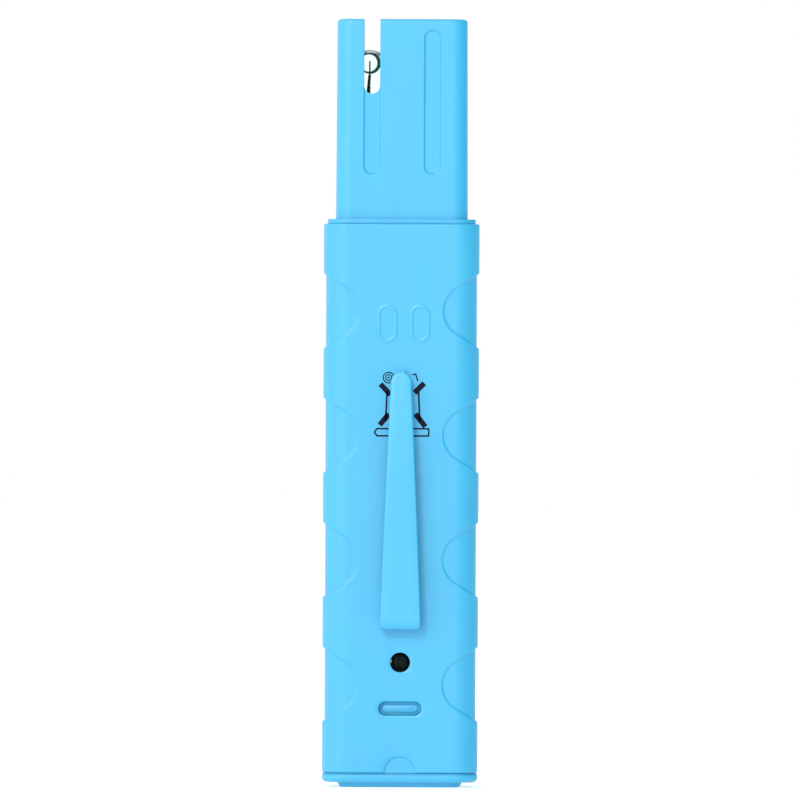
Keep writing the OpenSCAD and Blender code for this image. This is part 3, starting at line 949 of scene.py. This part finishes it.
def probe_guard():
    """The slotted guard with its collar and the spigot that the housing holds."""
    rim = 0.7
    slot_groove_head = 138
    core_w = GUARD_FOOT_W / 2 - GUARD_R
    zones_x = [(middle - 1.9, middle + 1.9) for middle in (-SLOT_X, SLOT_X)]
    x_stops = stops(-core_w + 0.4, core_w - 0.4, zones_x, 0.1, 2.4)
    turn = walk_round(core_w, GUARD_D / 2 - GUARD_R, x_stops, [-2, 0, 2], 16)
    base = COLLAR_TOP - 0.4
    zones_z = [
        (GROOVE_FOOT - 0.4, GROOVE_FOOT + 2),
        (slot_groove_head - 1.8, slot_groove_head + 0.4),
        (GROOVE_HEAD - 2, GROOVE_HEAD + 0.4),
    ]
    rows = stops(base, GUARD_TOP - rim, zones_z, 0.12, 2.4)
    rows += stops(GUARD_TOP - rim, GUARD_TOP, [(GUARD_TOP - rim, GUARD_TOP)], 0.09)[1:]

    def place(stop, z):
        cx, cy, nx, ny = stop
        draft = (GUARD_FOOT_W - GUARD_TOP_W) / 2 * (z - base) / (GUARD_TOP - base)
        cx -= math.copysign(draft, cx) if abs(cx) > core_w - 0.5 else 0
        share = 0.0
        if abs(ny) == 1:
            share = max(
                groove_share(cx, z, -SLOT_X, GROOVE_FOOT, slot_groove_head),
                groove_share(cx, z, SLOT_X, GROOVE_FOOT, GROOVE_HEAD),
            )
        reach = GUARD_R - share * GROOVE_DEPTH - rim_inset(z, BODY_TOP - rim, GUARD_TOP, rim)
        return Vector((cx + nx * reach, cy + ny * reach, z))

    guard = tube(turn, rows, place)
    collar = bar(COLLAR_W, COLLAR_D, 4, BODY_TOP, COLLAR_TOP, 0.12, 16)
    spigot = bar(SPIGOT_W, SPIGOT_D, SPIGOT_R, guard_low.z, BODY_TOP + 0.4, corner_steps=12)
    shape = combined(guard, collar, spigot, operation="UNION")
    inner_w, inner_d = GUARD_TOP_W - 2 * GUARD_WALL, GUARD_D - 2 * GUARD_WALL
    hollow = bar(inner_w, inner_d, 1.35, GUARD_FLOOR, GUARD_TOP + 1, corner_steps=6)
    slot_h = 30
    slots = [
        mouth(SLOT_W, slot_h, SLOT_W / 2 - HAIR, -SLOT_X, SLOT_FOOT + slot_h / 2, GUARD_D / 2, 3, 0.12, front)
        for front in (False, True)
    ]
    bores = []
    for x, radius in ((PROBE_X, 4.65), (LEAD_X, 3.45)):
        bore = bar(2 * radius, 2 * radius, radius - HAIR, guard_low.z - 1, GUARD_FLOOR + 1, corner_steps=16)
        bmesh.ops.translate(bore, vec=(x, 0, 0), verts=bore.verts)
        bores.append(bore)
    shape = combined(shape, hollow, *slots, *bores)
    return piece("probe_guard_moulding", shape, "housing", "housing", ["probe_guard"])


# ---------------------------------------------------------------- electrode


def glass_bulb():
    """A thin-walled glass dome on a stem, rounded at the shoulder."""

    def side(thinner, fillet):
        stem_r, shoulder, radius = BULB_STEM_R - thinner, BULB_SHOULDER + thinner, BULB_R - thinner
        return [
            (stem_r, bulb_low.z),
            (stem_r, shoulder),
            *arc(radius - fillet, shoulder + fillet, fillet, -90, 0, 4),
            *arc(0, BULB_TOP - BULB_R, radius, 0, 90, 18),
        ]

    outer, inner = side(0, 0.6), side(BULB_WALL, 0.5)
    outline = outer + inner[::-1] + [outer[0]]
    bulb = turned(outline, PROBE_X)
    return piece("glass_bulb_blown", bulb, "glass", "housing", ["glass_bulb"])


def bulb_solution():
    """The solution inside the glass, and the round air bubble at its top."""
    gap, fillet = BULB_WALL + 0.05, 0.45
    stem_r, shoulder, radius = BULB_STEM_R - gap, BULB_SHOULDER + gap, BULB_R - gap
    outline = [(0, bulb_low.z + gap), (stem_r, bulb_low.z + gap), (stem_r, shoulder)]
    outline += arc(radius - fillet, shoulder + fillet, fillet, -90, 0, 4)
    outline += arc(0, BULB_TOP - BULB_R, radius, 0, 90, 18)
    body = turned(outline, PROBE_X)
    bubble = bmesh.new()
    bmesh.ops.create_uvsphere(bubble, u_segments=40, v_segments=24, radius=2.1)
    bmesh.ops.translate(bubble, vec=(PROBE_X + 0.05, 0, 141.5), verts=bubble.verts)
    piece("bulb_solution_filled", body, "solution", "housing", ["bulb_solution"])
    piece("air_bubble", bubble, "bubble", "housing")


def silver_wire():
    """A thin silver wire, and the thicker chlorided length below its tip, which leans a little."""
    low, high = span("silver_wire")
    wire_r, coated_top = 0.14, 139.3
    bare = [(0, low.z), (wire_r, low.z), (wire_r, high.z - wire_r)]
    bare += arc(0, high.z - wire_r, wire_r, 0, 90, 4)
    wire = turned(bare, PROBE_X, steps=16)
    piece("silver_wire_drawn", wire, "chloride", "housing", ["silver_wire"])
    rounded_top = [(0.28, coated_top - 0.3), (0.2, coated_top), (0, coated_top + 0.05)]
    coated = turned([(0, 122), (0.26, 122.2), *rounded_top], steps=20)
    lean = Matrix.Translation((PROBE_X, 0, coated_top)) @ Matrix.Rotation(math.radians(5.5), 4, "Y")
    lean = lean @ Matrix.Translation((0, 0, -coated_top))
    bmesh.ops.transform(coated, matrix=lean, verts=coated.verts)
    piece("chlorided_length", coated, "chloride", "housing")


# ---------------------------------------------------------------- pocket clip


def pocket_clip():
    """One springy moulding: a foot on the housing, a long tapering arm, and a bead that grips at its tip."""
    low, high = clip_low.z, arm_high.z
    back = clip_low.y
    tip_z = high - 0.5 - CLIP_TIP_R
    corner, edge = 0.8, 0.28
    foot_top, crook_top, bead_z = 37.6, 39.4, 80.2

    def half_width(z):
        if z > tip_z:
            return math.sqrt(max(0.01, CLIP_TIP_R**2 - (z - tip_z) ** 2))
        if z < low + corner:
            return CLIP_ROOT_HALF_W - corner + math.sqrt(max(0.0, corner**2 - (low + corner - z) ** 2))
        along = (z - low - corner) / (tip_z - low - corner)
        return CLIP_ROOT_HALF_W + (CLIP_TIP_R - CLIP_ROOT_HALF_W) * along**1.1

    def outer(z):
        """The side away from the housing: straight, then bent in towards the tip."""
        bend = max(0.0, (z - 58) / 23.5)
        rise = max(0.0, 1 - (z - low) / 1.6)
        return back + 1.7 * bend**2 + 0.75 * rise**2

    def inner(z):
        """The side towards the housing: the foot, a round crook, the arm and the bead."""
        arm = outer(z) + CLIP_THICK
        if z < foot_top:
            return BACK + 0.02
        if z < crook_top:
            into = (crook_top - z) / (crook_top - foot_top)
            return arm + (BACK + 0.02 - arm) * (1 - math.sqrt(max(0.0, 1 - into**2)))
        bead = math.exp(-(((z - bead_z) / 0.75) ** 2))
        thin = min(1.0, max(0.0, (z - 76) / 5))
        return min(arm - 0.35 * thin + bead * 1.2, BACK - 0.06)

    turn = walk_round(1, 1, [-0.5, 0, 0.5], [0], 4)
    zones = [(low, low + 1.7), (foot_top - 0.4, crook_top + 0.4), (78.5, high)]
    rows = stops(low, tip_z + CLIP_TIP_R, zones, 0.16, 1.5)

    def place(stop, z):
        near, far = outer(z), inner(z)
        half_d = (far - near) / 2
        half_w = half_width(z)
        ease = min(edge, half_d * 0.9, half_w * 0.9)
        x = stop[0] * (half_w - ease) + stop[2] * ease
        y = (near + far) / 2 + stop[1] * (half_d - ease) + stop[3] * ease
        return Vector((x, y, z))

    arm = tube(turn, rows, place)
    peg = box_mesh((-PEG_HALF_W, BACK - 0.3, PEG_FOOT), (PEG_HALF_W, -6.2, PEG_TOP), 0.15)
    nub = bmesh.new()
    bmesh.ops.create_uvsphere(nub, u_segments=20, v_segments=12, radius=0.5)
    bmesh.ops.scale(nub, vec=(0.95, 0.9, 1.25), verts=nub.verts)
    bmesh.ops.translate(nub, vec=(0.5, outer(high) + 0.6, high - 0.63), verts=nub.verts)
    whole = merged(arm, peg, nub)
    made = piece("pocket_clip", whole, "clip", nodes=["clip_base", "clip_arm"])
    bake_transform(made)
    return made


# ---------------------------------------------------------------- battery cap


def battery_cap():
    """The end cap: a foot, a flange as wide as the housing, a low step behind the seam, and the plug."""
    foot_w, foot_d, foot_h, foot_r = 23.4, 12.0, 0.95, 2.6
    low_round, high_round = 0.9, 0.3
    flange_top = BODY_BOTTOM - SEAM
    turn = walk_round(BODY_W / 2 - BODY_R, BODY_D / 2 - BODY_R, corner_steps=20)
    rows = stops(foot_h, flange_top, [(foot_h, flange_top)], 0.09)

    def place(stop, z):
        low = low_round - math.sqrt(max(0.0, low_round**2 - max(0.0, low_round - (z - foot_h)) ** 2))
        high = high_round - math.sqrt(max(0.0, high_round**2 - max(0.0, high_round - (flange_top - z)) ** 2))
        reach = BODY_R - low - high
        return Vector((stop[0] + stop[2] * reach, stop[1] + stop[3] * reach, z))

    flange = tube(turn, rows, place)
    foot_turn = walk_round(foot_w / 2 - foot_r, foot_d / 2 - foot_r, corner_steps=14)
    foot_rows = [0, 0.08, 0.2, 0.4, 0.7, foot_h + 0.3]

    def foot_place(stop, z):
        reach = foot_r - 0.15 * max(0.0, 1 - z / 0.2) + 0.5 * z
        return Vector((stop[0] + stop[2] * reach, stop[1] + stop[3] * reach, z))

    foot = tube(foot_turn, foot_rows, foot_place)

    def inner_bar(inset, top):
        width, depth = BODY_W - 2 * inset, BODY_D - 2 * inset
        return bar(width, depth, BODY_R - inset, flange_top - 0.1, top, corner_steps=12)

    plug = inner_bar(WALL + 0.2, cap_high.z)
    step = inner_bar(0.45, flange_top + 0.2)
    shape = combined(flange, foot, plug, step, operation="UNION")
    return piece("battery_cap_moulding", shape, "cap", "cap", ["battery_cap"])


def latch_tongue():
    """The cap's springy tongue: a flat blade with a stepped wedge whose crest shows in the window."""
    crest, blade_back = tongue_low.y, tongue_low.y + 0.75
    low, high = (-TONGUE_HALF_W, blade_back, tongue_low.z), (TONGUE_HALF_W, tongue_high.y, tongue_high.z)
    blade = box_mesh(low, high, 0.12)
    wedge_w, wedge_h = WINDOW_W - 0.08, WINDOW_H - 0.08
    top_w, top_h = 7.1, 1.5
    wedge = bar(wedge_w, wedge_h, wedge_h / 2 - HAIR, -blade_back - 0.1, -crest - 0.35, 0.05, 12)
    top = bar(top_w, top_h, top_h / 2 - HAIR, -crest - 0.6, -crest, 0.25, 12)
    for level in (wedge, top):
        laid(level, 0, WINDOW_Z)
    ridge = box_mesh((-2.8, crest - 0.14, WINDOW_Z - 0.2), (2.8, crest + 0.3, WINDOW_Z + 0.2), 0.12)
    whole = merged(blade, wedge, top, ridge)
    return piece("latch_tongue_moulding", whole, "cap", "latch", ["latch_tongue"])


# ---------------------------------------------------------------- printed mark


def stroke(x0, z0, x1, z1, width):
    """A printed bar between two points on the back."""
    start, end = Vector((x0, 0, z0)), Vector((x1, 0, z1))
    length = (end - start).length
    mesh = bmesh.new()
    bmesh.ops.create_cube(mesh, size=1)
    bmesh.ops.scale(mesh, vec=(length, 0.03, width), verts=mesh.verts)
    tilt = math.atan2(z1 - z0, x1 - x0)
    turn = Matrix.Rotation(-tilt, 4, "Y")
    middle = (start + end) / 2
    place = Matrix.Translation((middle.x, BACK - 0.01, middle.z)) @ turn
    bmesh.ops.transform(mesh, matrix=place, verts=mesh.verts)
    return mesh


def printed_ring(x, z, outer, inner):
    half = 0.015
    outline = [(inner, -half), (outer, -half), (outer, half), (inner, half), (inner, -half)]
    mesh = turned(outline, steps=32)
    turn = Matrix.Translation((x, BACK - 0.01, z)) @ Matrix.Rotation(math.radians(90), 4, "X")
    bmesh.ops.transform(mesh, matrix=turn, verts=mesh.verts)
    return mesh


def printed_mark():
    """The printed disposal symbol: the parts of a crossed-out bin that show on both sides of the clip."""
    parts = [
        stroke(-3.0, 71.5, -2.75, 77.2, 0.34),
        stroke(3.65, 71.5, 3.4, 77.2, 0.34),
        stroke(-4.05, 78.7, -2.1, 76.6, 1.05),
        stroke(4.5, 78.9, 2.6, 77.0, 1.05),
        stroke(-4.15, 70.7, -2.4, 72.9, 1.05),
        stroke(4.75, 70.4, 2.8, 72.9, 1.05),
        stroke(-4.7, 68.6, 5.4, 68.6, 0.3),
        stroke(-4.7, 70.0, 5.4, 70.0, 0.3),
        stroke(-4.6, 68.5, -5.2, 69.3, 0.3),
        stroke(-5.2, 69.3, -4.6, 70.1, 0.3),
        stroke(5.4, 68.5, 5.4, 70.1, 0.3),
        stroke(2.2, 80.5, 2.85, 80.7, 0.26),
        stroke(2.8, 80.75, 3.25, 79.3, 0.26),
        printed_ring(-2.45, 79.95, 1.15, 0.93),
        printed_ring(-2.45, 79.95, 0.68, 0.48),
        printed_ring(-2.45, 79.95, 0.2, 0.01),
    ]
    return piece("printed_mark", merged(*parts), "ink", "housing")


# ---------------------------------------------------------------- front


def display_digits():
    """Seven-segment places under the display glass, unlit."""
    face = span("lcd_glass")[1].y + 0.02
    bars = []
    width, height, line = 3.4, 6.4, 0.55
    for place in range(4):
        x = (1.5 - place) * 4.3
        for side in (-1, 1):
            for level in (-1, 1):
                z = PANE_Z + level * height / 4
                bars.append(((x + side * width / 2, z), (line, height / 2 - 0.35)))
        for level in (-1, 0, 1):
            bars.append(((x, PANE_Z + level * height / 2), (width - 0.35, line)))
        bars.append(((x + width / 2 + 0.45, PANE_Z + height / 2), (0.4, 0.4)))
    meshes = [
        box_mesh((x - w / 2, face - 0.02, z - h / 2), (x + w / 2, face + 0.02, z + h / 2))
        for (x, z), (w, h) in bars
    ]
    return piece("display_segments", merged(*meshes), "segments", "housing")


def power_button():
    """A domed rubber button with a raised ring and bar for the thumb."""
    radius = 4.5
    low, high = button_low.y, button_high.y
    profile = [(0, low), (radius + 0.8, low), (radius + 0.8, low + 0.7)]
    profile += [(radius, low + 0.7), (radius, high - 0.75)]
    profile += arc(radius - 0.4, high - 0.75, 0.4, 0, 80, 5)
    profile += [(2.7, high - 0.18), (2.5, high - 0.02), (2.1, high - 0.02)]
    profile += [(1.9, high - 0.16), (0, high - 0.12)]
    cap = laid(turned(profile), 0, BUTTON_Z, True)
    return piece("power_button_moulding", cap, "button", "button", ["power_button"])


def trimmer_wiper():
    """The bright metal finger beside the trimmer's rotor, just seen at the edge of its hole."""
    face = span("trimmer_body")[0].y
    finger = box_mesh((-1.93, face - 0.2, ACCESS_Z - 0.3), (-1.62, face + 0.05, ACCESS_Z + 0.5), 0.05)
    return piece("trimmer_wiper", finger, "gilt", "housing")


def board_parts():
    """Small parts soldered on the back of the circuit board, in rows."""
    board = span("circuit_board")[0].y
    parts = []
    for row, z in enumerate((34, 38, 42, 46, 66, 78, 83, 88)):
        for column in range(4):
            x = -8.2 + column * 5.2 + (row % 2) * 0.9
            parts.append(box_mesh((x - 0.8, board - 0.55, z - 0.4), (x + 0.8, board, z + 0.4), 0.06))
    return piece("board_parts", merged(*parts), "chip", "housing")


# ---------------------------------------------------------------- the pen

rear_shell()
front_shell()
probe_guard()
glass_bulb()
bulb_solution()
silver_wire()
pocket_clip()
battery_cap()
latch_tongue()
printed_mark()
display_digits()
power_button()
trimmer_wiper()
board_parts()

EASED = [
    ("front_label", "label", "housing", "label_film", 0.05),
    ("display_window", "pane", "housing", "clear_acrylic", 0.1),
    ("lcd_glass", "lcd", "housing", "lcd_cell", 0.06),
    ("lcd_frame", "white", "housing", "white_plastic", 0.1),
    ("controller_chip", "chip", "housing", "chip_epoxy", 0.06),
    ("tact_switch", "switch", "housing", "switch_black", 0.1),
    ("trimmer_body", "trimmer", "housing", "trimmer_teal", 0.12),
    ("battery_contacts", "gilt", "housing", "gilt_spring", 0.05),
    ("board_screws", "zinc", "housing", "zinc_steel", 0.06),
    ("electrode_barrel", "white", "housing", "white_plastic", 0.15),
    ("reference_tube", "white", "housing", "white_plastic", 0.12),
    ("porous_junction", "ceramic", "housing", "porous_ceramic", 0.15),
    ("trimmer_rotor", "rotor", "trimmer", "rotor_plastic", 0.08),
    ("battery_tray", "white", "cap", "white_plastic", 0.15),
    ("tray_contacts", "nickel", "cap", "nickel_steel", 0.05),
    *[(f"cell_{i}", "cell", "cap", "cell_steel", 0.18) for i in range(1, 5)],
]
for node, finish, body, slot_name, width in EASED:
    softened(node, finish, body, width)

for node, finish in {
    "zebra_strips": "silicone",
    "circuit_board": "board",
    "probe_seal": "seal",
    "barrel_potting": "potting",
    "reference_wire": "silver",
    "electrode_leads": "lead",
    "cap_seal": "seal",
}.items():
    paint_node(node, finish)


# ---------------------------------------------------------------- studio


def studio():
    """A pale floor, the soft room and one lamp in front, above and to the left."""
    floor = bmesh.new()
    bmesh.ops.create_grid(floor, x_segments=8, y_segments=8, size=6000)
    bmesh.ops.translate(floor, vec=(0, 0, -0.05), verts=floor.verts)
    piece("studio_floor", floor, "floor")

    soft_room()
    middle = (cad_box[0] + cad_box[1]) / 2
    light = bpy.data.lights.new("key", "AREA")
    light.size = 0.3
    light.energy = 9.2
    light.color = (1, 0.91, 0.88)
    lamp = bpy.data.objects.new("key", light)
    lamp.location = middle + Vector((-0.45, -1.25, 0.8))
    lamp.rotation_mode = "QUATERNION"
    lamp.rotation_quaternion = (middle - lamp.location).to_track_quat("-Z", "Y")
    scene.collection.objects.link(lamp)


def soft_room():
    """Pale surroundings, brighter in front and on the left, dimmer and bluer on the right.

    The camera sees them as plain white."""
    world = bpy.data.worlds.new("soft_room")
    world.use_nodes = True
    scene.world = world
    nodes, links = world.node_tree.nodes, world.node_tree.links
    direction = nodes.new("ShaderNodeTexCoord").outputs["Generated"]
    level = (0.84, 0.87, 0.91)
    for towards, start, end, change in (
        ((-0.45, -0.88, 0.15), 0.74, 0.97, (1.1, 1.1, 1.1)),
        ((0, 1, 0), 0.3, 0.9, (0.2, 0.2, 0.2)),
        ((-1, 0, 0), 0.6, 0.97, (0.5, 0.5, 0.5)),
        ((1, 0, 0), 0.2, 0.9, (-0.86, -0.27, -0.12)),
    ):
        facing = nodes.new("ShaderNodeVectorMath")
        facing.operation = "DOT_PRODUCT"
        facing.inputs[1].default_value = towards
        links.new(direction, facing.inputs[0])
        side = nodes.new("ShaderNodeMapRange")
        side.interpolation_type = "SMOOTHSTEP"
        links.new(facing.outputs["Value"], side.inputs["Value"])
        side.inputs["From Min"].default_value = start
        side.inputs["From Max"].default_value = end
        total = nodes.new("ShaderNodeVectorMath")
        total.operation = "MULTIPLY_ADD"
        links.new(side.outputs[0], total.inputs[0])
        total.inputs[1].default_value = change
        if isinstance(level, tuple):
            total.inputs[2].default_value = level
        else:
            links.new(level, total.inputs[2])
        level = total.outputs[0]
    seen = nodes.new("ShaderNodeMix")
    seen.data_type = "RGBA"
    links.new(nodes.new("ShaderNodeLightPath").outputs["Is Camera Ray"], seen.inputs[0])
    links.new(level, seen.inputs[6])
    seen.inputs[7].default_value = (1, 1, 1, 1)
    links.new(seen.outputs[2], nodes["Background"].inputs["Color"])


def camera():
    """A long lens square on the back, level with the middle of the pen."""
    height = cad_box[1].z - cad_box[0].z
    filled = 0.96125
    distance = 2.4
    data = bpy.data.cameras.new("camera")
    data.sensor_width = 36
    data.lens = data.sensor_width * distance * filled / height
    data.clip_end = 100
    view = bpy.data.objects.new("camera", data)
    centre = Vector((-0.22 * MM, 0, 75.6 * MM))
    view.location = centre + Vector((0, BACK * MM - distance, 0))
    level = Matrix.Rotation(math.radians(90), 4, "X")
    roll = Matrix.Rotation(math.radians(0.24), 4, "Z")
    view.rotation_euler = (level @ roll).to_euler()
    scene.collection.objects.link(view)
    scene.camera = view


studio()
camera()
scene.view_settings.view_transform = "Standard"
